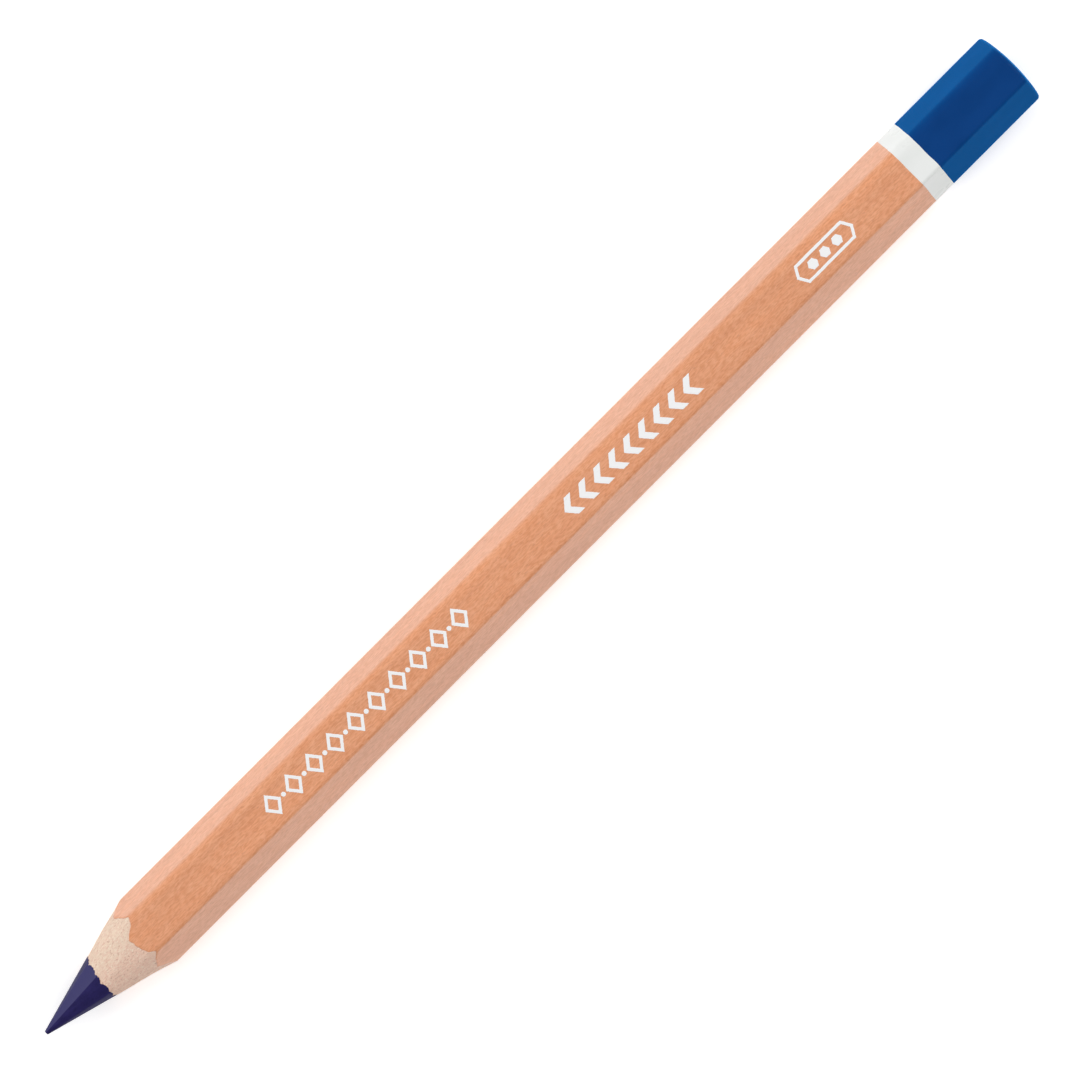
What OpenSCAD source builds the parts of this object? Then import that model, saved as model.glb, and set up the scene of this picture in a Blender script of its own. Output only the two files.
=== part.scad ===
// Thick hexagonal coloured pencil: a pigment core glued between two wooden slats,
// varnished, dipped at the butt end, and sharpened.
// It lies on its lower flat, along X, with the point towards -X. Millimetres.

/* [Pencil] */
// Length from the point to the dipped end
pencil_length = 175; // [165:1:200]
// Width across the flats
across_flats = 9.55; // [8.7:0.05:11]
// Radius of the six long edges
edge_round = 0.8; // [0.5:0.05:1.8]

/* [Point] */
// Half angle of the sharpened cone, in degrees
cone_half_angle = 15.4; // [12:0.1:20]
// Radius of the blunt tip
tip_radius = 0.29; // [0.15:0.01:0.6]

/* [Core and case] */
// Diameter of the pigment core
core_diameter = 6; // [3.5:0.1:6.4]
// Thickness of the glue around the core and in the seam between the slats
glue_thickness = 0.06; // [0.03:0.01:0.12]

/* [Coats] */
// Depth of the clear varnish, and of the two dip coats together
coat_depth = 0.1; // [0.08:0.01:0.15]
// Depth of the white undercoat where the blue coat covers it
undercoat_depth = 0.04; // [0.03:0.01:0.06]

/* [Dipped end] */
// Length of the blue end coat
dip_length = 16.2; // [8:0.1:20]
// Width of the white ring in front of it
ring_width = 3.15; // [1:0.05:5]
// Radius of the rounded rim around the butt end
rim_round = 0.65; // [0.4:0.05:0.9]
// Radius of the shallow dome that the butt end is turned to
dome_radius = 26; // [20:1:80]

/* [Foil marks] */
// Thickness of the stamped foil
foil_thickness = 0.03; // [0.02:0.01:0.05]
// Distance from the point to the row of lozenges
lozenge_row_start = 40; // [30:0.1:44]
// Number of lozenges
lozenge_count = 10; // [4:1:10]
// Distance from the point to the row of chevrons
chevron_row_start = 93.9; // [82:0.1:96]
// Number of chevrons
chevron_count = 9; // [3:1:9]
// Distance from the dipped end to the rear of the hexagon badge
badge_inset = 29.2; // [26:0.1:34]

/* [Hidden] */
$fn = 96;

wood_colour = [0.94, 0.84, 0.76];
varnished_colour = [0.87, 0.61, 0.46];
pigment_colour = [0.20, 0.17, 0.40];
glue_colour = [0.90, 0.84, 0.68];
white_colour = [0.91, 0.92, 0.91];
blue_colour = [0.11, 0.23, 0.49];
foil_colour = [0.94, 0.94, 0.96];

// The varnish, the white ring and the blue coat are flush, and a depth is measured
// from their common surface: the blue coat ends at blue_depth and the wood starts at coat_depth
blue_depth = coat_depth - undercoat_depth;

tip_x = -pencil_length / 2;
end_x = pencil_length / 2;
blue_start_x = end_x - dip_length;
ring_start_x = blue_start_x - ring_width;
axis_height = across_flats / 2;

core_radius = core_diameter / 2;
groove_radius = core_radius + glue_thickness;

// Distance from the axis to the crown of a rounded edge
edge_reach = (across_flats / 2 - edge_round) / cos(30) + edge_round;
clear_reach = edge_reach + 1;               // safely outside the barrel
overrun = 2;                                // how far a cutting solid runs past what it cuts

// A regular hexagon with flats above and below and each corner rounded by an arc
edge_arc_steps = 6;
function rounded_hexagon(flats, round_radius) =
    let (centre_distance = (flats / 2 - round_radius) / cos(30))
    [for (corner = [0:5], step = [0:edge_arc_steps])
        let (middle = 60 * corner, turn = middle - 30 + 60 * step / edge_arc_steps)
        centre_distance * [cos(middle), sin(middle)] + round_radius * [cos(turn), sin(turn)]];

// The turned butt end at a depth, as [radius, x] points from outside the barrel to the axis.
// A rim arc of rim_round runs into a dome of dome_radius, and both shrink with the depth.
rim_arc_steps = 8;
dome_arc_steps = 8;
rim_first_turn = 8;                         // degrees from the axis direction
function butt_profile(depth) =
    let (dome_centre_x = end_x - dome_radius,
         rim_centre_r = edge_reach - rim_round,
         rim_centre_x = dome_centre_x + sqrt(pow(dome_radius - rim_round, 2) - pow(rim_centre_r, 2)),
         dome_turn = atan2(rim_centre_x - dome_centre_x, rim_centre_r),
         rim_r = rim_round - depth,
         dome_r = dome_radius - depth,
         first_r = rim_centre_r + rim_r * cos(rim_first_turn),
         first_x = rim_centre_x + rim_r * sin(rim_first_turn))
    concat(
        [[clear_reach, first_x - (clear_reach - first_r) / tan(rim_first_turn)]],
        [for (step = [0:rim_arc_steps])
            let (turn = rim_first_turn + (dome_turn - rim_first_turn) * step / rim_arc_steps)
            [rim_centre_r + rim_r * cos(turn), rim_centre_x + rim_r * sin(turn)]],
        [for (step = [1:dome_arc_steps])
            let (turn = dome_turn + (90 - dome_turn) * step / dome_arc_steps)
            [dome_r * cos(turn), dome_centre_x + dome_r * sin(turn)]]);

// The sharpened point, as [radius, x] points from the axis out past the barrel
cone_profile = [[0, tip_x], [tip_radius, tip_x],
                [clear_reach, tip_x + (clear_reach - tip_radius) / tan(cone_half_angle)]];

module on_axis() {
    translate([0, 0, axis_height]) children();
}

module along_x(from_x, to_x) {
    translate([from_x, 0, 0]) rotate([90, 0, 90]) linear_extrude(to_x - from_x) children();
}

module section(depth) {
    polygon(rounded_hexagon(across_flats - 2 * depth, edge_round - depth));
}

// Everything that the sharpener and the end-rounding cutter leave
module turned_form(depth) {
    rotate([0, 90, 0]) rotate_extrude() polygon(concat(cone_profile, butt_profile(depth)));
}

// The pencil's rear below a depth, from from_x to the turned end
module rear(depth, from_x) {
    intersection() {
        along_x(from_x, end_x + overrun) section(depth);
        turned_form(depth);
    }
}

module pigment_core() {
    color(pigment_colour) on_axis() intersection() {
        along_x(tip_x - overrun, end_x + overrun) circle(r = core_radius);
        turned_form(coat_depth);
    }
}

// One slat: the half of the case above the seam, with its half-round groove
module slat() {
    intersection() {
        along_x(tip_x - overrun, end_x + overrun) difference() {
            intersection() {
                section(coat_depth);
                translate([-across_flats, glue_thickness / 2]) square([2 * across_flats, across_flats]);
            }
            circle(r = groove_radius);
        }
        turned_form(coat_depth);
    }
}

module upper_slat() {
    color(wood_colour) on_axis() slat();
}

module lower_slat() {
    color(wood_colour) on_axis() mirror([0, 0, 1]) slat();
}

// One film: a sleeve around the core, and a wing on each side in the seam
module glue_film() {
    color(glue_colour) on_axis() intersection() {
        along_x(tip_x - overrun, end_x + overrun) intersection() {
            section(coat_depth);
            difference() {
                union() {
                    circle(r = groove_radius);
                    square([2 * across_flats, glue_thickness], center = true);
                }
                circle(r = core_radius);
            }
        }
        turned_form(coat_depth);
    }
}

// The varnish covers the six sides, from the cut that the sharpener leaves to the white ring
module clear_varnish() {
    color(varnished_colour) on_axis() intersection() {
        along_x(tip_x - overrun, ring_start_x) difference() {
            section(0);
            section(coat_depth);
        }
        turned_form(0);
    }
}

// The white coat has its full depth only in the ring, and is thinner where the blue one covers it
module white_undercoat() {
    color(white_colour) on_axis() difference() {
        union() {
            along_x(ring_start_x, blue_start_x) section(0);
            rear(blue_depth, ring_start_x);
        }
        rear(coat_depth, ring_start_x - overrun);
    }
}

module blue_end_coat() {
    color(blue_colour) on_axis() difference() {
        rear(0, blue_start_x);
        rear(blue_depth, blue_start_x - overrun);
    }
}

// Foil ornaments, drawn flat in X and Y and laid on the top flat
lozenge_size = [2.7, 3.4];
lozenge_stroke = 0.42;                      // measured across the line
lozenge_pitch = 3.73;
lozenge_dot_radius = 0.32;
chevron_height = 2.8;
chevron_depth = 1.2;                        // how far the nose stands ahead of the ends
chevron_stroke = 1.1;                       // measured along X
chevron_pitch = 2.68;
badge_length = 10;
badge_height = 3;
badge_stroke = 0.4;
badge_hexagon_flats = 1.35;
badge_hexagon_pitch = 2.15;

module stamped_on_top_flat() {
    on_axis() translate([0, 0, across_flats / 2]) linear_extrude(foil_thickness) children();
}

module lozenge_outline() {
    half = lozenge_size / 2;
    // An inner lozenge with parallel sides, one line width in from the outer one
    shrink = 1 - lozenge_stroke * norm(half) / (half.x * half.y);
    corners = [[-half.x, 0], [0, -half.y], [half.x, 0], [0, half.y]];
    difference() {
        polygon(corners);
        polygon(corners * shrink);
    }
}

module foil_lozenge_row() {
    color(foil_colour) stamped_on_top_flat()
        translate([tip_x + lozenge_row_start + lozenge_size.x / 2, 0])
            for (i = [0:lozenge_count - 1]) translate([i * lozenge_pitch, 0]) {
                lozenge_outline();
                if (i < lozenge_count - 1)
                    translate([lozenge_pitch / 2, 0]) circle(r = lozenge_dot_radius, $fn = 24);
            }
}

module chevron() {
    half = chevron_height / 2;
    polygon([[0, 0], [chevron_depth, -half], [chevron_depth + chevron_stroke, -half],
             [chevron_stroke, 0], [chevron_depth + chevron_stroke, half], [chevron_depth, half]]);
}

module foil_chevron_row() {
    color(foil_colour) stamped_on_top_flat()
        translate([tip_x + chevron_row_start, 0])
            for (i = [0:chevron_count - 1]) translate([i * chevron_pitch, 0]) chevron();
}

// A hexagon stretched along X, whose pointed ends keep 60 degree sides
function long_hexagon(length, height) =
    let (nose = height / 2 / tan(60), flat = length / 2 - nose)
    [[-length / 2, 0], [-flat, -height / 2], [flat, -height / 2],
     [length / 2, 0], [flat, height / 2], [-flat, height / 2]];

module foil_hexagon_badge() {
    inner_length = badge_length - 2 * badge_stroke / sin(60);
    color(foil_colour) stamped_on_top_flat()
        translate([end_x - badge_inset - badge_length / 2, 0]) {
            difference() {
                polygon(long_hexagon(badge_length, badge_height));
                polygon(long_hexagon(inner_length, badge_height - 2 * badge_stroke));
            }
            for (i = [-1:1]) translate([i * badge_hexagon_pitch, 0])
                circle(r = badge_hexagon_flats / 2 / cos(30), $fn = 6);
        }
}

pigment_core();
upper_slat();
lower_slat();
glue_film();
clear_varnish();
white_undercoat();
blue_end_coat();
foil_lozenge_row();
foil_chevron_row();
foil_hexagon_badge();
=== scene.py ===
import math

import bpy
import numpy as np
from mathutils import Matrix, Vector


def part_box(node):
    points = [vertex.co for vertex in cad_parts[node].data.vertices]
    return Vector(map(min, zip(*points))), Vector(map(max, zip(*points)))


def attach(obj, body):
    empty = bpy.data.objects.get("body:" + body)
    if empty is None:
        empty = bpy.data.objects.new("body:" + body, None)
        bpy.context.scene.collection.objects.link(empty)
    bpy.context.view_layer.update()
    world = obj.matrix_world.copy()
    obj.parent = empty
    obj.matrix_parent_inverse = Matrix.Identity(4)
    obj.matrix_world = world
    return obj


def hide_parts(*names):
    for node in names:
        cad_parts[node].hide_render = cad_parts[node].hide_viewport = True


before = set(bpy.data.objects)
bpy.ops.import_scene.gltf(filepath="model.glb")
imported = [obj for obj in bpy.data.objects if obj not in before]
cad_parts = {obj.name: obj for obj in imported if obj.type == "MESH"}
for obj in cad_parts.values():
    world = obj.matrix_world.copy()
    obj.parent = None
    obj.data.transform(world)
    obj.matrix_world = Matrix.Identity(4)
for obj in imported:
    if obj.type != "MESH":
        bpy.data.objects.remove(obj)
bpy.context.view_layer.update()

MM = 0.001
TURN = 2 * math.pi
HEX = TURN / 6


# ---------------------------------------------------------------- sizes, from the frame

core_lo, core_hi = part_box("pigment_core")
glue_lo, glue_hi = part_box("glue_film")
slat_lo, slat_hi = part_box("upper_slat")
varnish_lo, varnish_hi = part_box("clear_varnish")
white_lo, white_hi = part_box("white_undercoat")
blue_lo, blue_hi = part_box("blue_end_coat")

TIP_X = core_lo.x
END_X = blue_hi.x
AXIS_Z = (core_lo.z + core_hi.z) / 2
CORE_R = (core_hi.y - core_lo.y) / 2
GROOVE_R = (glue_hi.z - glue_lo.z) / 2
GLUE_T = GROOVE_R - CORE_R
HALF_FLATS = (varnish_hi.z - varnish_lo.z) / 2
EDGE_REACH = (varnish_hi.y - varnish_lo.y) / 2
WOOD_HALF_FLATS = slat_hi.z - AXIS_Z
RING_X = white_lo.x
BLUE_X = blue_lo.x

# Depths below the finished surface
WOOD_DEPTH = HALF_FLATS - WOOD_HALF_FLATS
UNDERCOAT_DEPTH = END_X - white_hi.x
VARNISH_DEPTH = 0.020 * MM          # the dip coats stand a hair proud of the varnish and of each other
RING_DEPTH = 0.010 * MM
BLUE_DEPTH = 0.004 * MM

# The dip coats
COAT_LAP = 0.5 * MM                 # how far a coat runs on under the next one
COAT_LIP = 0.22 * MM                # length over which a dip coat's front edge swells up
COAT_SIDE = 0.3 * MM                # distance from a dip coat's front to where its straight side starts
COAT_TUCK = 0.004 * MM              # how far a dip coat's front edge starts below the surface that it laps

# The sharpened cone: it meets the groove at the slats' front and the wooden flats at the varnish's
CONE_SLOPE = (WOOD_HALF_FLATS - GROOVE_R) / (varnish_lo.x - slat_lo.x)
TIP_R = GROOVE_R - CONE_SLOPE * (slat_lo.x - TIP_X)

# The long edges are arcs that reach EDGE_REACH
SHARP_REACH = 1 / math.cos(HEX / 2)
EDGE_ROUND = (HALF_FLATS * SHARP_REACH - EDGE_REACH) / (SHARP_REACH - 1)

# The dips and the sanding leave the six edges unevenly rounded: what each adds, from 30 degrees of turn on.
# The two at the sides add nothing, since they set the pencil's width.
EDGE_EXTRA = np.array([-0.1, 0.0, 0.25, 0.1, 0.0, 0.9]) * MM

# The butt end, turned to a shallow dome with a rounded rim
DOME_R = 26 * MM
RIM_ROUND = 0.55 * MM

COLUMNS = 480                       # points round the pencil, a multiple of 12
TURNS = np.arange(COLUMNS) * TURN / COLUMNS


# ---------------------------------------------------------------- outlines

def hexagon_radius(turn, depth):
    """Distance from the axis to the rounded hexagon at a depth below the finished surface."""
    flats = HALF_FLATS - depth
    edge_round = EDGE_ROUND + EDGE_EXTRA[((turn % TURN) // HEX).astype(int)] - depth
    centre = (flats - edge_round) * SHARP_REACH
    from_edge = np.abs((turn % HEX) - HEX / 2)          # the edges are half way between the flats
    arc_end = np.arctan2(edge_round * math.sin(HEX / 2), centre + edge_round * math.cos(HEX / 2))
    off_axis = np.minimum(centre * np.sin(from_edge), edge_round)
    on_arc = centre * np.cos(from_edge) + np.sqrt(edge_round ** 2 - off_axis ** 2)
    on_flat = flats / np.cos(HEX / 2 - from_edge)
    return np.where(from_edge < arc_end, on_arc, on_flat)


def from_top(turn):
    """The same turn, within half a turn of straight up."""
    return (turn + math.pi) % TURN - math.pi


def waves(turn, seed, lowest, highest, size):
    """A smooth seeded ripple round the pencil, with whole numbers of waves, about size high."""
    rng = np.random.default_rng(seed)
    counts = np.arange(lowest, highest + 1)
    phases = rng.uniform(0, TURN, len(counts))
    weights = rng.uniform(0.4, 1.0, len(counts))
    total = sum(w * np.sin(n * turn + p) for n, p, w in zip(counts, phases, weights))
    return size * total / math.sqrt((weights ** 2).sum())


def faceted(turn, edges_deg, skew, along, keep):
    """Share of the full cone's radius left by flat shaving cuts that meet at the given edges.
    skew turns the edges as the cut runs along the cone, and keep is how flat the cuts are."""
    edges = np.radians(sorted(edges_deg))
    local = from_top(turn - skew * along)
    closed = np.concatenate([[edges[-1] - TURN], edges, [edges[0] + TURN]])
    cut = np.clip(np.searchsorted(closed, local) - 1, 0, len(closed) - 2)
    middle = (closed[cut] + closed[cut + 1]) / 2
    half = (closed[cut + 1] - closed[cut]) / 2
    return 1 - keep * (1 - np.cos(half) / np.cos(local - middle))


# Edges between the shaving cuts, in degrees of turn, on the core and on the wood
CORE_CUTS = (-172, -141, -112, -82, -54, -9, 15, 50, 80, 106, 132, 158)
WOOD_CUTS = (-160, -121, -84, -47, 4, 41, 76, 118, 157)
CORE_CUT_FLATNESS = 0.62
WOOD_CUT_FLATNESS = 0.40
WOOD_CUT_SKEW = math.radians(-4.6) / MM             # the wood's cuts lean by this per length
WOOD_CUT_MIDDLE = 13.2 * MM                         # distance from the point where their turn is as given


# Where the blade left the wood early or bit deeper near the barrel: degrees of turn, and share of radius
EARLY_LIFTS = ((29, 0.048), (-31, 0.010), (-60, -0.034), (60, -0.015), (152, 0.030))
LIFT_WIDTH = math.radians(15)
LIFT_FROM, LIFT_TO = 13.5 * MM, 17.0 * MM


def lifted(turn, along):
    """Share of radius that the blade left or took near the barrel."""
    rise = np.clip((along - LIFT_FROM) / (LIFT_TO - LIFT_FROM), 0, 1)
    added = 0
    for middle, share in EARLY_LIFTS:
        off = from_top(turn - math.radians(middle))
        added = added + share * np.exp(-((off / LIFT_WIDTH) ** 2))
    return added * rise * rise * (3 - 2 * rise)


def cone_radius(turn, along, on_wood):
    """Radius of the sharpened cone at a distance along from the point."""
    full = TIP_R + CONE_SLOPE * along
    if on_wood:
        cuts = faceted(turn, WOOD_CUTS, WOOD_CUT_SKEW, along - WOOD_CUT_MIDDLE, WOOD_CUT_FLATNESS)
        return full * (cuts + lifted(turn, along))
    return full * faceted(turn, CORE_CUTS, 0, 0, CORE_CUT_FLATNESS)


# Where wooden teeth bite into the core: degrees of turn and mm from the point
WOOD_TEETH = ((-176, 9.8), (-146, 9.4), (-118, 9.9), (-94, 10.35), (-50, 10.05), (-15, 9.8), (10, 9.45),
              (45, 9.5), (70, 9.4), (101, 9.7), (139, 9.3), (160, 9.6))
TOOTH_GAP_RISE = 0.011 * MM                         # how far the core runs on, per degree of gap
TOOTH_GAP_LIMIT = 0.75 * MM


def core_edge(turn):
    """Distance from the point to where the wood starts: the core bulges on between wooden teeth."""
    local = np.degrees(from_top(turn))
    at = [a for a, _ in WOOD_TEETH]
    mm = [d for _, d in WOOD_TEETH]
    at = np.array([at[-1] - 360] + at + [at[0] + 360])
    mm = np.array([mm[-1]] + mm + [mm[0]])
    left = np.clip(np.searchsorted(at, local) - 1, 0, len(at) - 2)
    gap = at[left + 1] - at[left]
    t = (local - at[left]) / gap
    bulge = np.minimum(gap * TOOTH_GAP_RISE, TOOTH_GAP_LIMIT) * (4 * t * (1 - t)) ** 0.75
    straight = (mm[left] * (1 - t) + mm[left + 1] * t) * MM
    return straight + bulge + waves(turn, seed=3, lowest=25, highest=60, size=0.05 * MM)


def scallop(turn, depth):
    """Distance from the point to where the shaved cone meets the hexagon at this depth."""
    along = np.full_like(turn, WOOD_CUT_MIDDLE)
    settling_steps = 12
    for _ in range(settling_steps):
        share = cone_radius(turn, along, True) / (TIP_R + CONE_SLOPE * along)
        along = (hexagon_radius(turn, depth) / share - TIP_R) / CONE_SLOPE
    return along + waves(turn, seed=8, lowest=7, highest=40, size=0.05 * MM)


def dome_at(r, depth):
    """Where the domed butt end lies along X at a radius and a depth."""
    return END_X - DOME_R + math.sqrt((DOME_R - depth) ** 2 - r ** 2)


def butt_rows(turn, depth, rim_rows, dome_rows):
    """Rows of (x, r) at a depth, round the rim's arc and over the dome almost to the axis."""
    dome_x, dome_r, rim_r = END_X - DOME_R, DOME_R - depth, RIM_ROUND - depth
    centre_r = hexagon_radius(turn, depth) - rim_r
    centre_x = dome_x + np.sqrt((dome_r - rim_r) ** 2 - centre_r ** 2)
    last_lean = np.arctan2(centre_x - dome_x, centre_r)
    rows = []
    for k in range(rim_rows + 1):
        lean = last_lean * k / rim_rows
        rows.append((centre_x + rim_r * np.sin(lean), centre_r + rim_r * np.cos(lean)))
    for k in range(1, dome_rows):
        lean = last_lean + (math.pi / 2 - last_lean) * k / dome_rows
        rows.append((dome_x + dome_r * np.sin(lean), dome_r * np.cos(lean)))
    return rows


def side_end(turn, depth):
    """Where the straight side ends along X and the rim's arc starts."""
    return butt_rows(turn, depth, rim_rows=1, dome_rows=1)[0][0]


# ---------------------------------------------------------------- meshes

def ring(turn, x, r):
    """Points at radius r, turned from straight up towards -Y."""
    return np.stack([np.broadcast_to(x, turn.shape), -r * np.sin(turn), AXIS_Z + r * np.cos(turn)], axis=1)


def mesh_object(name, points, faces, material, body="root"):
    """A smooth-shaded piece that rides on a body."""
    mesh = bpy.data.meshes.new(name)
    mesh.from_pydata([tuple(p) for p in points], [], faces)
    mesh.validate()
    mesh.polygons.foreach_set("use_smooth", [True] * len(mesh.polygons))
    mesh.materials.append(material)
    piece = bpy.data.objects.new(name, mesh)
    bpy.context.scene.collection.objects.link(piece)
    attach(piece, body)
    return piece


def lofted(rings, first_pole=None, last_pole=None, close_rows=False):
    """Quads between closed rings, with an end point at either end or the last ring joined to the first."""
    rows, columns = len(rings), len(rings[0])
    points = [tuple(p) for one in rings for p in one]
    faces = []
    for i in range(rows if close_rows else rows - 1):
        a, b = i * columns, ((i + 1) % rows) * columns
        for j in range(columns):
            k = (j + 1) % columns
            faces.append((a + j, a + k, b + k, b + j))
    if first_pole is not None:
        points.append(first_pole)
        faces += [(len(points) - 1, (j + 1) % columns, j) for j in range(columns)]
    if last_pole is not None:
        points.append(last_pole)
        base = (rows - 1) * columns
        faces += [(len(points) - 1, base + j, base + (j + 1) % columns) for j in range(columns)]
    return points, faces


def pigment_core(material):
    """The core, from its blunt tip over the shaved cone, and on as a plain rod inside the wood."""
    edge = core_edge(TURNS)
    tip_rise = 0.05 * MM                                # length over which the blunt tip is rounded
    rings = [ring(TURNS, TIP_X, cone_radius(TURNS, 0, False) * share) for share in (0.35, 0.7)]
    rings.append(ring(TURNS, TIP_X + 0.2 * tip_rise, cone_radius(TURNS, 0, False) * 0.93))
    cone_rows = 90
    for k in range(cone_rows + 1):
        along = tip_rise + (edge - tip_rise) * (k / cone_rows) ** 1.15
        grit = waves(TURNS + 0.7 * k, seed=100 + k % 7, lowest=30, highest=90, size=0.0035 * MM)
        rings.append(ring(TURNS, TIP_X + along, cone_radius(TURNS, along, False) + grit))
    # Under the wood it steps in, so that its edge can't show through the thin start of the cone
    step_in = 0.08 * MM
    inner = np.minimum(CORE_R, cone_radius(TURNS, edge, True) - step_in)
    rings.append(ring(TURNS, TIP_X + edge + 0.02 * MM, inner))
    rings.append(ring(TURNS, TIP_X + edge + 1.5 * MM, np.full(COLUMNS, CORE_R)))
    end_x = dome_at(CORE_R, WOOD_DEPTH)
    end_bevel = 0.05 * MM
    rings.append(ring(TURNS, end_x - 2 * end_bevel, np.full(COLUMNS, CORE_R)))
    rings.append(ring(TURNS, end_x, np.full(COLUMNS, CORE_R - end_bevel)))
    points, faces = lofted(rings, (TIP_X, 0, AXIS_Z), (dome_at(0, WOOD_DEPTH), 0, AXIS_Z))
    piece = mesh_object("sharpened_core", points, faces, material)
    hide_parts("pigment_core")


def slat(name, node, upwards, material):
    """Half of the case: shaved cone, then the planed barrel under the varnish, with its groove."""
    middle = 0 if upwards else math.pi
    turn = middle + np.linspace(-math.pi / 2, math.pi / 2, COLUMNS // 2 + 1)
    edge, shoulder = core_edge(turn), scallop(turn, WOOD_DEPTH)
    seam_z = GLUE_T / 2 * (1 if upwards else -1)
    rows = []
    cone_rows = 120
    fuzz_sink = 0.02 * MM
    fade_length = 0.4 * MM                              # the fuzz dies out this close to the varnish
    for k in range(cone_rows + 1):
        along = edge + (shoulder - edge) * k / cone_rows
        # Torn fibres lie along the cut, so neighbouring rows share most of their roughness
        fuzz = (waves(turn + 0.02 * k, seed=40 + k // 9, lowest=60, highest=160, size=0.010 * MM)
                + waves(turn, seed=21, lowest=20, highest=90, size=0.012 * MM))
        fade = np.clip((shoulder - along) / fade_length, 0, 1)
        rows.append((along, cone_radius(turn, along, True) + (fuzz - fuzz_sink) * fade))
    rim = butt_rows(turn, WOOD_DEPTH, rim_rows=8, dome_rows=1)
    side_length = rim[0][0] - TIP_X - shoulder
    # Rows crowd at the shoulder, so that its crease stays crisp
    for share in (0.0005, 0.02, 0.3, 0.7):
        rows.append((shoulder + side_length * share, hexagon_radius(turn, WOOD_DEPTH)))
    rows += [(x - TIP_X, r) for x, r in rim]
    lip = 0.06 * MM                                     # least wall between the cone and the groove
    groove_end = dome_at(GROOVE_R, WOOD_DEPTH) - TIP_X
    points = []
    for i, (along, r) in enumerate(rows):
        groove = np.minimum(GROOVE_R, r - lip)
        inner_along = np.full_like(turn, groove_end) if i == len(rows) - 1 else along
        for a, radius, order in ((along, r, slice(None)), (inner_along, groove, slice(None, None, -1))):
            row = ring(turn, TIP_X + a, radius)[order]
            clear = np.maximum if upwards else np.minimum
            row[:, 2] = clear(row[:, 2], AXIS_Z + seam_z)
            points += [tuple(p) for p in row]
    loop, half = 2 * len(turn), len(turn)
    faces = []
    for i in range(len(rows) - 1):
        a, b = i * loop, (i + 1) * loop
        faces += [(a + j, a + (j + 1) % loop, b + (j + 1) % loop, b + j) for j in range(loop)]
    last = (len(rows) - 1) * loop
    for j in range(half - 1):
        faces.append((j + 1, j, loop - 1 - j, loop - 2 - j))
        faces.append((last + j, last + j + 1, last + loop - 2 - j, last + loop - 1 - j))
    piece = mesh_object(name, points, faces, material)
    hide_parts(node)


def glue_seam(material):
    """The glue film: a sleeve round the core with a wing in the seam on each side."""
    side = np.array([-math.pi / 2, math.pi / 2])
    sink = 0.012 * MM                                   # how far the seam lies below the wood
    clearance = 0.004 * MM
    points, faces = [], []
    wing_rows = 60
    wing_end = side_end(side, WOOD_DEPTH).min()
    sleeve_end = dome_at(GROOVE_R, WOOD_DEPTH) - 0.02 * MM
    for at in side:
        spot = np.array([at])
        edge, shoulder = core_edge(spot)[0], scallop(spot, WOOD_DEPTH)[0]
        stations = [edge + (shoulder - edge) * k / wing_rows for k in range(wing_rows + 1)]
        stations += [shoulder + 0.05 * MM, wing_end - TIP_X]
        base = len(points)
        for k, along in enumerate(stations):
            if k <= wing_rows:
                outer = cone_radius(spot, np.array([along]), True)[0] - sink
            else:
                outer = hexagon_radius(spot, WOOD_DEPTH)[0] - sink
            inner = min(CORE_R + GLUE_T / 2, outer - 2 * sink)
            sign = -math.sin(at)
            for y, dz in ((outer, 1), (outer, -1), (inner, -1), (inner, 1)):
                points.append((TIP_X + along, sign * y, AXIS_Z + dz * GLUE_T / 2))
        for k in range(len(stations) - 1):
            a, b = base + 4 * k, base + 4 * (k + 1)
            faces += [(a + j, a + (j + 1) % 4, b + (j + 1) % 4, b + j) for j in range(4)]
        faces.append(tuple(base + j for j in (3, 2, 1, 0)))
        faces.append(tuple(base + 4 * (len(stations) - 1) + j for j in range(4)))
    sleeve_start = TIP_X + 12 * MM
    inside = np.full(COLUMNS, CORE_R + clearance)
    outside = np.full(COLUMNS, GROOVE_R - clearance)
    sleeve = [ring(TURNS, sleeve_start, inside), ring(TURNS, sleeve_start, outside),
              ring(TURNS, sleeve_end, outside), ring(TURNS, sleeve_end, inside)]
    more, more_faces = lofted(sleeve, close_rows=True)
    base = len(points)
    points += more
    faces += [tuple(base + v for v in f) for f in more_faces]
    piece = mesh_object("glue_line", points, faces, material)
    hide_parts("glue_film")


def varnish_skin(material):
    """The varnished surface, cut back to scallops by the shaving, with its thin cut edge."""
    inner_front, outer_front = scallop(TURNS, WOOD_DEPTH), scallop(TURNS, VARNISH_DEPTH)
    wood_r, skin_r = hexagon_radius(TURNS, WOOD_DEPTH), hexagon_radius(TURNS, VARNISH_DEPTH)
    rings = [ring(TURNS, TIP_X + inner_front, wood_r)]
    cut_rows = 4
    for k in range(1, cut_rows + 1):
        t = k / cut_rows
        # The cut edge is a little rounded where it reaches the polished face
        rings.append(ring(TURNS, TIP_X + inner_front + (outer_front - inner_front) * t,
                          wood_r + (skin_r - wood_r) * math.sin(t * math.pi / 2) ** 0.9))
    barrel_rows = 110
    last = RING_X + COAT_LAP - TIP_X
    for k in range(1, barrel_rows + 1):
        along = outer_front + (last - outer_front) * (k / barrel_rows) ** 1.4
        sway = waves(TURNS + 0.01 * k, seed=500, lowest=3, highest=9, size=0.0012 * MM)
        rings.append(ring(TURNS, TIP_X + along, skin_r + sway))
    # One more row close to the hidden end keeps the long face's shading flat
    rings.append(ring(TURNS, TIP_X + last + 0.02 * MM, skin_r))
    rings.append(ring(TURNS, TIP_X + last + 0.03 * MM, wood_r))
    points, faces = lofted(rings, close_rows=True)
    piece = mesh_object("varnished_barrel", points, faces, material)
    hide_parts("clear_varnish")


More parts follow.
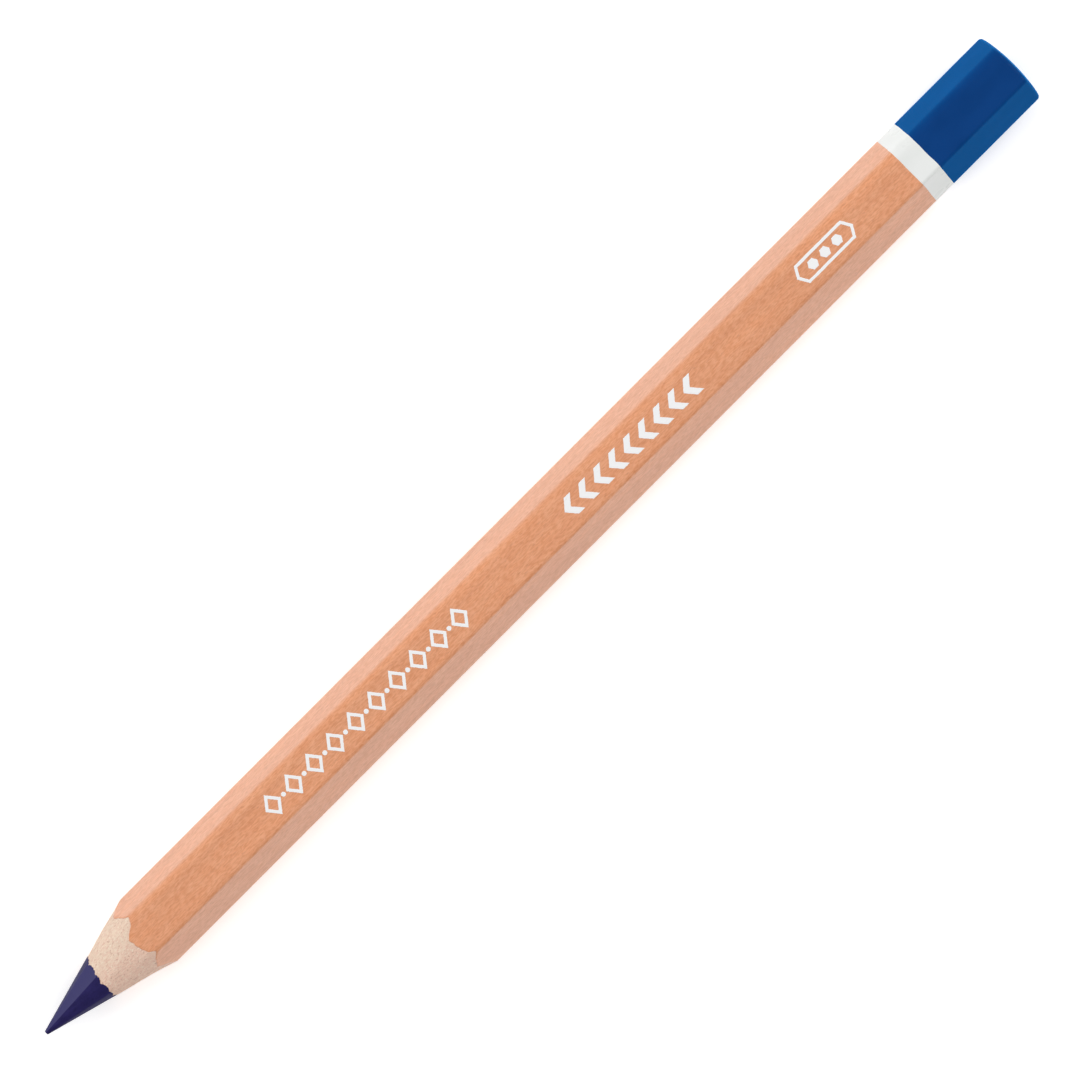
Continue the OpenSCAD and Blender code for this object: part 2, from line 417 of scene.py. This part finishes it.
def coat_front(front_x, from_depth, to_depth, seed):
    """Rings of a dip coat's front edge, which wanders a little and swells up softly."""
    front = front_x + 0.01 * MM + np.abs(waves(TURNS, seed, lowest=2, highest=11, size=0.025 * MM))
    rows = 8
    rings = []
    for k in range(rows + 1):
        lean = math.pi / 2 * k / rows
        depth = from_depth + (to_depth - from_depth) * math.sin(lean)
        rings.append(ring(TURNS, front + COAT_LIP * (1 - math.cos(lean)), hexagon_radius(TURNS, depth)))
    return rings


def coat_side(from_x, to_x, depth, rows, seed):
    """Rings along the straight side, with the faint sway of a dipped surface."""
    rings = []
    for k in range(1, rows + 1):
        x = from_x + (to_x - from_x) * k / rows
        fade = math.sin(math.pi * k / (rows + 1))
        sway = waves(TURNS + 0.02 * k, seed + 50, lowest=3, highest=12, size=0.0012 * MM) * fade
        rings.append(ring(TURNS, x, hexagon_radius(TURNS, depth) + sway))
    return rings


def butt_skin(depth, rim_rows, dome_rows):
    """Rings round the rim and over the domed end."""
    return [ring(TURNS, x, r) for x, r in butt_rows(TURNS, depth, rim_rows, dome_rows)]


def coat_shell(outer, inner, outer_depth, inner_depth):
    """A closed shell from an outer and an inner run of rings, each from the front to the dome."""
    points, faces = lofted(outer, last_pole=(dome_at(0, outer_depth), 0, AXIS_Z))
    lining, lining_faces = lofted(inner, last_pole=(dome_at(0, inner_depth), 0, AXIS_Z))
    base = len(points)
    faces += [tuple(base + v for v in reversed(face)) for face in lining_faces]
    for j in range(COLUMNS):
        k = (j + 1) % COLUMNS
        faces.append((j, base + j, base + k, k))
    return points + lining, faces


def white_coat(material):
    """The white dip coat: full depth in the ring, and thinner where the blue one covers it."""
    clearance = 0.002 * MM
    covered = UNDERCOAT_DEPTH + clearance
    last = side_end(TURNS, covered)
    outer = coat_front(RING_X, VARNISH_DEPTH + COAT_TUCK, RING_DEPTH, seed=31)
    outer += coat_side(RING_X + COAT_SIDE, BLUE_X + COAT_LAP, RING_DEPTH, rows=14, seed=31)
    outer += coat_side(BLUE_X + COAT_LAP, last, covered, rows=10, seed=77)[:-1]
    outer += butt_skin(covered, rim_rows=8, dome_rows=16)
    inner = [ring(TURNS, RING_X + COAT_LAP, hexagon_radius(TURNS, WOOD_DEPTH))]
    inner += butt_skin(WOOD_DEPTH, rim_rows=6, dome_rows=12)
    points, faces = coat_shell(outer, inner, covered, WOOD_DEPTH)
    piece = mesh_object("white_ring", points, faces, material)
    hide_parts("white_undercoat")


def blue_coat(material):
    """The blue dip coat, from its front edge over the ring to the domed end."""
    last = side_end(TURNS, BLUE_DEPTH)
    outer = coat_front(BLUE_X, RING_DEPTH + COAT_TUCK, BLUE_DEPTH, seed=37)
    outer += coat_side(BLUE_X + COAT_SIDE, last, BLUE_DEPTH, rows=40, seed=37)[:-1]
    outer += butt_skin(BLUE_DEPTH, rim_rows=16, dome_rows=40)
    inner = [ring(TURNS, BLUE_X + COAT_LAP, hexagon_radius(TURNS, UNDERCOAT_DEPTH))]
    inner += butt_skin(UNDERCOAT_DEPTH, rim_rows=8, dome_rows=16)
    points, faces = coat_shell(outer, inner, BLUE_DEPTH, UNDERCOAT_DEPTH)
    piece = mesh_object("blue_cap", points, faces, material)
    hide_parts("blue_end_coat")


# ---------------------------------------------------------------- foil ornaments

FOIL_RISE = 0.022 * MM                              # how far the foil stands above the varnish
FOIL_SINK = 0.012 * MM                              # how far it is pressed in
FOIL_BEVEL = 0.03 * MM


def along_loop(corners, per_side):
    """Points spaced along a closed outline of corners."""
    out = []
    for i, (ax, ay) in enumerate(corners):
        bx, by = corners[(i + 1) % len(corners)]
        out += [(ax + (bx - ax) * k / per_side, ay + (by - ay) * k / per_side) for k in range(per_side)]
    return np.array(out)


def ragged(loop, rng, size=0.012 * MM):
    """Stamped foil never ends on a perfect line."""
    return loop + rng.normal(0, size, loop.shape)


def inset(loop, by):
    """The outline moved in by a small distance, point by point along its own normals."""
    step = np.roll(loop, -1, axis=0) - np.roll(loop, 1, axis=0)
    normal = np.stack([-step[:, 1], step[:, 0]], axis=1)
    normal /= np.linalg.norm(normal, axis=1)[:, None]
    area = 0.5 * np.sum(loop[:, 0] * np.roll(loop[:, 1], -1) - np.roll(loop[:, 0], -1) * loop[:, 1])
    return loop + normal * by * (1 if area > 0 else -1)


class Foil:
    """Collects stamped shapes on the top flat and makes one piece of them."""

    def __init__(self, seed):
        self.points, self.faces = [], []
        self.rng = np.random.default_rng(seed)

    def level(self, loop, rise):
        """Adds an outline at a height above the varnish, and gives the numbers of its points."""
        first = len(self.points)
        top = AXIS_Z + HALF_FLATS - VARNISH_DEPTH
        self.points += [(x, y, top + rise) for x, y in loop]
        return list(range(first, len(self.points)))

    def wall(self, lower, upper):
        """Quads between two outlines with as many points."""
        n = len(lower)
        self.faces += [(lower[j], lower[(j + 1) % n], upper[(j + 1) % n], upper[j]) for j in range(n)]

    def solid(self, loop):
        """A shape with no hole, counterclockwise: sunk base, wall, bevel, top."""
        loop = ragged(loop, self.rng)
        base = self.level(loop, -FOIL_SINK)
        wall = self.level(loop, FOIL_RISE * 0.5)
        top = self.level(inset(loop, FOIL_BEVEL), FOIL_RISE)
        self.wall(base, wall)
        self.wall(wall, top)
        self.faces += [tuple(top), tuple(reversed(base))]

    def frame(self, outer, inner):
        """A shape with one hole. Both outlines run counterclockwise with as many points."""
        outer, inner = ragged(outer, self.rng), ragged(inner, self.rng)
        rings = [self.level(outer, -FOIL_SINK), self.level(outer, FOIL_RISE * 0.5),
                 self.level(inset(outer, FOIL_BEVEL), FOIL_RISE),
                 self.level(inset(inner, -FOIL_BEVEL), FOIL_RISE),
                 self.level(inner, FOIL_RISE * 0.5), self.level(inner, -FOIL_SINK)]
        for lower, upper in zip(rings, rings[1:] + rings[:1]):
            self.wall(lower, upper)

    def piece(self, name, node, material):
        """The flat-shaded piece made of everything collected."""
        piece = mesh_object(name, self.points, self.faces, material)
        for polygon in piece.data.polygons:
            polygon.use_smooth = False
        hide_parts(node)


def disc(centre_x, radius, sides):
    """A regular polygon on the pencil's middle line, counterclockwise."""
    angles = np.arange(sides) * TURN / sides
    return np.stack([centre_x + radius * np.cos(angles), radius * np.sin(angles)], axis=1)


def lozenge_row(material):
    """Open lozenges with a dot between each two."""
    lo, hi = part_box("foil_lozenge_row")
    count = 10
    width, height = 2.7 * MM, hi.y - lo.y
    pitch = (hi.x - lo.x - width) / (count - 1)
    stroke, dot_radius = 0.42 * MM, 0.32 * MM
    half_w, half_h = width / 2, height / 2
    shrink = 1 - stroke * math.hypot(half_w, half_h) / (half_w * half_h)
    foil = Foil(seed=11)
    for i in range(count):
        x = lo.x + half_w + i * pitch
        corners = [(half_w, 0), (0, half_h), (-half_w, 0), (0, -half_h)]
        outer = along_loop(corners, per_side=14)
        foil.frame(outer + (x, 0), outer * shrink + (x, 0))
        if i < count - 1:
            foil.solid(disc(x + pitch / 2, dot_radius, sides=20))
    foil.piece("stamped_lozenges", "foil_lozenge_row", material)


def chevron_row(material):
    """Chevrons that point towards the sharpened end."""
    lo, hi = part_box("foil_chevron_row")
    count = 9
    depth, stroke = 1.2 * MM, 1.1 * MM
    width, half_h = depth + stroke, (hi.y - lo.y) / 2
    pitch = (hi.x - lo.x - width) / (count - 1)
    corners = [(0, 0), (depth, -half_h), (width, -half_h), (stroke, 0), (width, half_h), (depth, half_h)]
    foil = Foil(seed=12)
    for i in range(count):
        foil.solid(along_loop(corners, per_side=8) + (lo.x + i * pitch, 0))
    foil.piece("stamped_chevrons", "foil_chevron_row", material)


def hexagon_badge(material):
    """A long hexagonal frame round three small hexagons."""
    lo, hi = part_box("foil_hexagon_badge")
    length, height = hi.x - lo.x, hi.y - lo.y
    stroke, small, pitch = 0.4 * MM, 1.35 * MM / 2 * SHARP_REACH, 2.15 * MM
    middle = (lo.x + hi.x) / 2

    def long_hexagon(size_x, size_y):
        flat = size_x / 2 - size_y / 2 / math.tan(HEX)
        return along_loop([(size_x / 2, 0), (flat, size_y / 2), (-flat, size_y / 2),
                           (-size_x / 2, 0), (-flat, -size_y / 2), (flat, -size_y / 2)], per_side=16)

    foil = Foil(seed=13)
    foil.frame(long_hexagon(length, height) + (middle, 0),
               long_hexagon(length - 2 * stroke * SHARP_REACH, height - 2 * stroke) + (middle, 0))
    for i in (-1, 0, 1):
        corners = disc(middle + i * pitch, small, sides=6)
        foil.solid(along_loop([tuple(c) for c in corners], per_side=6))
    foil.piece("stamped_badge", "foil_hexagon_badge", material)


# ---------------------------------------------------------------- materials

def maths(tree, operation, a, b):
    """A Math node in a node tree, whose two inputs are each a number or another node's output."""
    node = tree.nodes.new("ShaderNodeMath")
    node.operation = operation
    for socket, value in zip(node.inputs, (a, b)):
        if isinstance(value, (int, float)):
            socket.default_value = value
        else:
            tree.links.new(value, socket)
    return node.outputs["Value"]


class Shader:
    """A Principled material whose textures are sized in millimetres along X, Y and Z."""

    def __init__(self, name, **sockets):
        self.material = bpy.data.materials.new(name)
        self.material.use_nodes = True
        self.tree = self.material.node_tree
        self.bsdf = self.tree.nodes["Principled BSDF"]
        for socket, value in sockets.items():
            self.bsdf.inputs[socket.replace("_", " ")].default_value = value
        self.place = self.add("ShaderNodeTexCoord").outputs["Object"]
        parts = self.add("ShaderNodeSeparateXYZ")
        self.join(self.place, parts.inputs["Vector"])
        self.across, self.height = parts.outputs["Y"], parts.outputs["Z"]

    def add(self, kind, **values):
        node = self.tree.nodes.new(kind)
        for key, value in values.items():
            setattr(node, key, value)
        return node

    def join(self, source, socket):
        self.tree.links.new(source, socket)

    def stretched(self, size_mm):
        """Coordinates in which one unit is size_mm along each axis."""
        mapping = self.add("ShaderNodeMapping")
        mapping.inputs["Scale"].default_value = [1 / (s * MM) for s in size_mm]
        self.join(self.place, mapping.inputs["Vector"])
        return mapping.outputs["Vector"]

    def noise(self, size_mm, detail=3.0, roughness=0.5, distortion=0.0):
        node = self.add("ShaderNodeTexNoise")
        self.join(self.stretched(size_mm), node.inputs["Vector"])
        node.inputs["Scale"].default_value = 1
        node.inputs["Detail"].default_value = detail
        node.inputs["Roughness"].default_value = roughness
        node.inputs["Distortion"].default_value = distortion
        return node.outputs["Fac"]

    def spread(self, value, low, high, to_low=0.0, to_high=1.0):
        """A value's stretch from low to high, eased and spread out from to_low to to_high."""
        node = self.add("ShaderNodeMapRange", interpolation_type="SMOOTHSTEP")
        self.join(value, node.inputs["Value"])
        for key, number in (("From Min", low), ("From Max", high), ("To Min", to_low), ("To Max", to_high)):
            node.inputs[key].default_value = number
        return node.outputs["Result"]

    def maths(self, operation, a, b):
        return maths(self.tree, operation, a, b)

    def blend(self, factor, low, high, mode="MIX"):
        """Two colours, each a tuple or another node's colour, mixed by a factor."""
        node = self.add("ShaderNodeMix", data_type="RGBA", blend_type=mode)
        sockets = {"Factor": factor, "A": low, "B": high}
        for socket in node.inputs:
            if not socket.enabled or socket.name not in sockets:
                continue
            value = sockets[socket.name]
            if isinstance(value, (int, float)):
                socket.default_value = value
            elif isinstance(value, tuple):
                socket.default_value = (*value, 1.0)
            else:
                self.join(value, socket)
        return next(o for o in node.outputs if o.enabled)

    def bump(self, height, distance_mm, strength=1.0):
        node = self.add("ShaderNodeBump")
        node.inputs["Distance"].default_value = distance_mm * MM
        node.inputs["Strength"].default_value = strength
        self.join(height, node.inputs["Height"])
        self.join(node.outputs["Normal"], self.bsdf.inputs["Normal"])

    def colour(self, value):
        self.join(value, self.bsdf.inputs["Base Color"])

    def roughness(self, value):
        self.join(value, self.bsdf.inputs["Roughness"])


def tint(colour, share):
    """The colour made darker or lighter."""
    return tuple(c * share for c in colour)


def varnished_wood():
    """Reddish wood under a thin satin varnish: soft mottles, streaks, fibres and pores along X."""
    shade = Shader("varnished_wood", IOR=1.45, Specular_IOR_Level=0.0, Coat_Weight=1.0, Coat_Roughness=0.32,
                   Coat_IOR=1.5, Sheen_Weight=0.6, Sheen_Roughness=0.5)
    middle, pale = (0.80, 0.312, 0.138), (0.86, 0.385, 0.20)
    streak, pore = (0.66, 0.23, 0.10), (0.50, 0.18, 0.085)
    # The fibres multiply the colour under them
    dark_fibre, light_fibre = (0.885, 0.86, 0.79), (1.035, 1.12, 1.23)
    broad = shade.noise((30, 2.6, 2.6), detail=2)
    mottle = shade.noise((2.6, 0.9, 0.9), detail=3, roughness=0.6)
    streaks = shade.noise((14, 0.34, 0.34), detail=4, roughness=0.6)
    fibres = shade.noise((0.75, 0.18, 0.18), detail=1, distortion=0.5)
    pores = shade.noise((0.7, 0.2, 0.2), detail=1)
    base = shade.blend(shade.spread(broad, 0.3, 0.7), tint(middle, 0.95), tint(middle, 1.05))
    base = shade.blend(shade.spread(mottle, 0.35, 0.65, to_high=0.45), base, pale)
    base = shade.blend(shade.spread(streaks, 0.40, 0.72, to_high=0.34), base, streak)
    grain = shade.blend(shade.spread(fibres, 0.30, 0.66), dark_fibre, light_fibre)
    base = shade.blend(1.0, base, grain, mode="MULTIPLY")
    base = shade.blend(shade.spread(pores, 0.64, 0.78, to_high=0.4), base, pore)
    shade.colour(base)
    shade.roughness(shade.spread(fibres, 0.2, 0.8, to_low=0.42, to_high=0.56))
    relief = shade.maths("ADD", fibres, shade.maths("MULTIPLY", pores, -1.0))
    shade.bump(relief, distance_mm=0.004, strength=0.6)
    return shade.material


def bare_wood():
    """Freshly shaved wood, cream with a pink cast, speckled where the cut crosses the fibres."""
    shade = Shader("bare_wood", IOR=1.4, Specular_IOR_Level=0.3)
    light, pink, side_tone = (0.90, 0.70, 0.545), (0.80, 0.48, 0.375), (0.93, 0.62, 0.49)
    pale_speck, dark_speck, pore = (1.0, 0.87, 0.72), (0.66, 0.42, 0.33), (0.50, 0.26, 0.18)
    broad = shade.noise((5, 1.6, 1.6), detail=2)
    fibres = shade.noise((1.1, 0.17, 0.17), detail=3, roughness=0.6)
    speckle = shade.noise((0.34, 0.15, 0.15), detail=2, roughness=0.7)
    pores = shade.noise((0.6, 0.15, 0.15), detail=1)
    # The wood is made pinker and a little darker towards -Y
    pinker = shade.spread(shade.across, 1.5 * MM, -1.5 * MM)
    base = shade.blend(shade.spread(broad, 0.35, 0.65), light, tint(light, 0.95))
    base = shade.blend(shade.maths("MULTIPLY", pinker, 0.75), base, side_tone)
    base = shade.blend(shade.spread(fibres, 0.42, 0.68, to_high=0.6), base, pink)
    base = shade.blend(shade.spread(speckle, 0.5, 0.72, to_high=0.75), base, pale_speck)
    base = shade.blend(shade.spread(speckle, 0.46, 0.28, to_high=0.35), base, dark_speck)
    base = shade.blend(shade.spread(pores, 0.62, 0.74, to_high=0.6), base, pore)
    shade.colour(base)
    shade.roughness(shade.spread(speckle, 0.2, 0.8, to_low=0.72, to_high=0.9))
    shade.bump(shade.maths("ADD", speckle, fibres), distance_mm=0.035, strength=1.0)
    return shade.material


def pigment():
    """Wax-bound indigo pigment: a satin, slightly streaky shaved surface, with a painted highlight on the
    facet towards +Y.
    """
    shade = Shader("pigment", IOR=1.3, Specular_IOR_Level=0.14)
    # The last of these colours is a painted highlight, for the facet that faces the key light
    deep, grit, painted_highlight = (0.0225, 0.0180, 0.095), (0.036, 0.028, 0.140), (0.056, 0.052, 0.156)
    cloud = shade.noise((1.2, 0.7, 0.7), detail=3)
    grain = shade.noise((0.22, 0.10, 0.10), detail=2)
    shaved = shade.noise((3.0, 0.12, 0.12), detail=2)
    base = shade.blend(shade.spread(cloud, 0.3, 0.7), tint(deep, 0.86), tint(deep, 1.15))
    base = shade.blend(shade.spread(grain, 0.52, 0.75, to_high=0.5), base, grit)
    # Painted highlight: the facet about 9 to 57 degrees from the top towards +Y, which faces the key light,
    # is painted paler than the rest
    lean = shade.maths("ARCTAN2", shade.across, shade.maths("SUBTRACT", shade.height, AXIS_Z))
    highlight_mask = shade.maths("MULTIPLY", shade.spread(lean, math.radians(8), math.radians(10)),
                        shade.spread(lean, math.radians(62), math.radians(52)))
    base = shade.blend(highlight_mask, base, painted_highlight)
    shade.colour(base)
    shade.roughness(shade.spread(shaved, 0.25, 0.75, to_low=0.30, to_high=0.44))
    shade.bump(shade.maths("ADD", grain, shaved), distance_mm=0.008, strength=0.6)
    return shade.material


def dried_glue():
    """Cloudy yellowish glue, darker than the wood on both sides."""
    shade = Shader("dried_glue", Roughness=0.5)
    dark, light = (0.62, 0.44, 0.25), (0.78, 0.62, 0.40)
    cloud = shade.noise((0.6, 0.2, 0.2), detail=2)
    shade.colour(shade.blend(cloud, dark, light))
    shade.bump(cloud, distance_mm=0.01)
    return shade.material


def enamel(name, colour, other, **sockets):
    """Glossy dip enamel with a slight orange peel, cloudy between two near colours."""
    shade = Shader(name, **sockets)
    peel = shade.noise((2.4, 1.3, 1.3), detail=1)
    cloud = shade.noise((6.0, 3.0, 3.0), detail=2)
    shade.colour(shade.blend(shade.spread(cloud, 0.3, 0.7), colour, other))
    shade.roughness(shade.spread(peel, 0.2, 0.8, to_low=0.26, to_high=0.34))
    shade.bump(peel, distance_mm=0.004, strength=0.5)
    return shade.material


def white_enamel():
    return enamel("white_enamel", (0.82, 0.84, 0.82), (0.86, 0.875, 0.86),
                  Coat_Weight=0.3, Coat_Roughness=0.12)


def blue_enamel():
    """Deep blue enamel, whose sheen gives the greener blue that it shows where it is seen at a slant."""
    return enamel("blue_enamel", (0.004, 0.042, 0.186), (0.005, 0.048, 0.208), Specular_IOR_Level=0.0,
                  Coat_Weight=0.12, Coat_IOR=1.25, Coat_Roughness=0.12,
                  Sheen_Weight=0.8, Sheen_Roughness=0.5, Sheen_Tint=(0.0, 0.38, 1.0, 1.0))


def stamped_foil():
    """White stamping foil, a little uneven where it bridges the grain."""
    shade = Shader("stamped_foil", IOR=1.5, Coat_Weight=0.3, Coat_Roughness=0.2)
    white, worn = (0.94, 0.945, 0.95), (0.84, 0.70, 0.62)
    wear = shade.noise((0.9, 0.14, 0.14), detail=3)
    base = shade.blend(shade.spread(wear, 0.62, 0.80, to_high=0.6), white, worn)
    shade.colour(base)
    shade.roughness(shade.spread(wear, 0.3, 0.7, to_low=0.30, to_high=0.45))
    shade.bump(wear, distance_mm=0.004, strength=0.5)
    return shade.material


# ---------------------------------------------------------------- camera, floor and light

CAMERA_DISTANCE = 1.19
CAMERA_LENS = 310.3
CAMERA_LEAN = math.radians(1.3)                     # the view leans this far towards -Y
PENCIL_SLOPE = math.radians(45.055)                 # how steeply the pencil rises across the view
AIM = Vector((1.7 * MM, -0.14 * MM, AXIS_Z))


def camera():
    """Looks almost straight down on the stamped flat, with the point at the lower left."""
    data = bpy.data.cameras.new("camera")
    data.lens = CAMERA_LENS
    data.clip_start, data.clip_end = 0.05, 20
    back = Vector((0, -math.sin(CAMERA_LEAN), math.cos(CAMERA_LEAN)))
    up = back.cross(Vector((math.cos(PENCIL_SLOPE), -math.sin(PENCIL_SLOPE), 0))).normalized()
    right = up.cross(back)
    eye = AIM + back * CAMERA_DISTANCE
    cam = bpy.data.objects.new("camera", data)
    cam.matrix_world = Matrix.Translation(eye) @ Matrix((right, up, back)).transposed().to_4x4()
    bpy.context.scene.collection.objects.link(cam)
    bpy.context.scene.camera = cam


def floor():
    """A plain white studio floor, lit a little from within like a light table."""
    shade = Shader("studio_floor", Roughness=0.85, Specular_IOR_Level=0.2, Emission_Strength=0.42)
    shade.bsdf.inputs["Emission Color"].default_value = (1, 1, 1, 1)
    white = (1.0, 1.0, 1.0)
    tone = shade.noise((90, 90, 90), detail=2)
    shade.colour(shade.blend(tone, tint(white, 0.88), tint(white, 0.90)))
    half = 4.0
    corners = [(-half, -half, 0), (half, -half, 0), (half, half, 0), (-half, half, 0)]
    mesh = bpy.data.meshes.new("studio_floor")
    mesh.from_pydata(corners, [], [(0, 1, 2, 3)])
    mesh.materials.append(shade.material)
    plane = bpy.data.objects.new("studio_floor", mesh)
    bpy.context.scene.collection.objects.link(plane)


def soft_light(name, place, side, power):
    """A square softbox aimed at the middle of the pencil."""
    data = bpy.data.lights.new(name, "AREA")
    data.shape, data.size = "SQUARE", side
    data.energy = power
    lamp = bpy.data.objects.new(name, data)
    lamp.location = place
    lamp.rotation_euler = (-Vector(place)).to_track_quat("-Z", "Y").to_euler()
    bpy.context.scene.collection.objects.link(lamp)


# Strengths of the surroundings
SKY_BASE = 0.19
SKY_OVERHEAD = 0.85
SKY_SIDE = 0.2                                      # how much paler they are towards +Y
SKY_HORIZON = 0.78
SKY_BAND = 40.0                                     # halvings of the horizon's band from there to overhead


def sky():
    """Pale surroundings: brightest overhead, a little paler towards +Y, with a pale band at the horizon."""
    world = bpy.data.worlds.new("studio")
    world.use_nodes = True
    tree = world.node_tree
    background = tree.nodes["Background"]
    background.inputs["Color"].default_value = (1, 1, 1, 1)
    direction = tree.nodes.new("ShaderNodeSeparateXYZ")
    tree.links.new(tree.nodes.new("ShaderNodeTexCoord").outputs["Generated"], direction.inputs["Vector"])
    height = maths(tree, "MAXIMUM", direction.outputs["Z"], 0.0)
    overhead = maths(tree, "MULTIPLY", maths(tree, "POWER", height, 2.0), SKY_OVERHEAD)
    side = maths(tree, "MULTIPLY", direction.outputs["Y"], SKY_SIDE)
    fall = maths(tree, "POWER", 0.5, maths(tree, "MULTIPLY", height, SKY_BAND))
    band = maths(tree, "MULTIPLY", fall, SKY_HORIZON)
    total = maths(tree, "ADD", maths(tree, "ADD", overhead, side), maths(tree, "ADD", band, SKY_BASE))
    tree.links.new(total, background.inputs["Strength"])
    bpy.context.scene.world = world


def studio():
    """Pale surroundings, a soft key over the point and the +Y side, and a second light over the butt end."""
    sky()
    soft_light("key", (-0.80, 1.0, 0.85), side=0.7, power=4.5)
    soft_light("end_light", (1.1, -0.1, 1.0), side=0.7, power=7)


# ---------------------------------------------------------------- the model

camera()
floor()
studio()
wood = bare_wood()
foil = stamped_foil()
pigment_core(pigment())
slat("upper_wood", "upper_slat", True, wood)
slat("lower_wood", "lower_slat", False, wood)
glue_seam(dried_glue())
varnish_skin(varnished_wood())
white_coat(white_enamel())
blue_coat(blue_enamel())
lozenge_row(foil)
chevron_row(foil)
hexagon_badge(foil)

bpy.context.scene.view_settings.view_transform = "Standard"
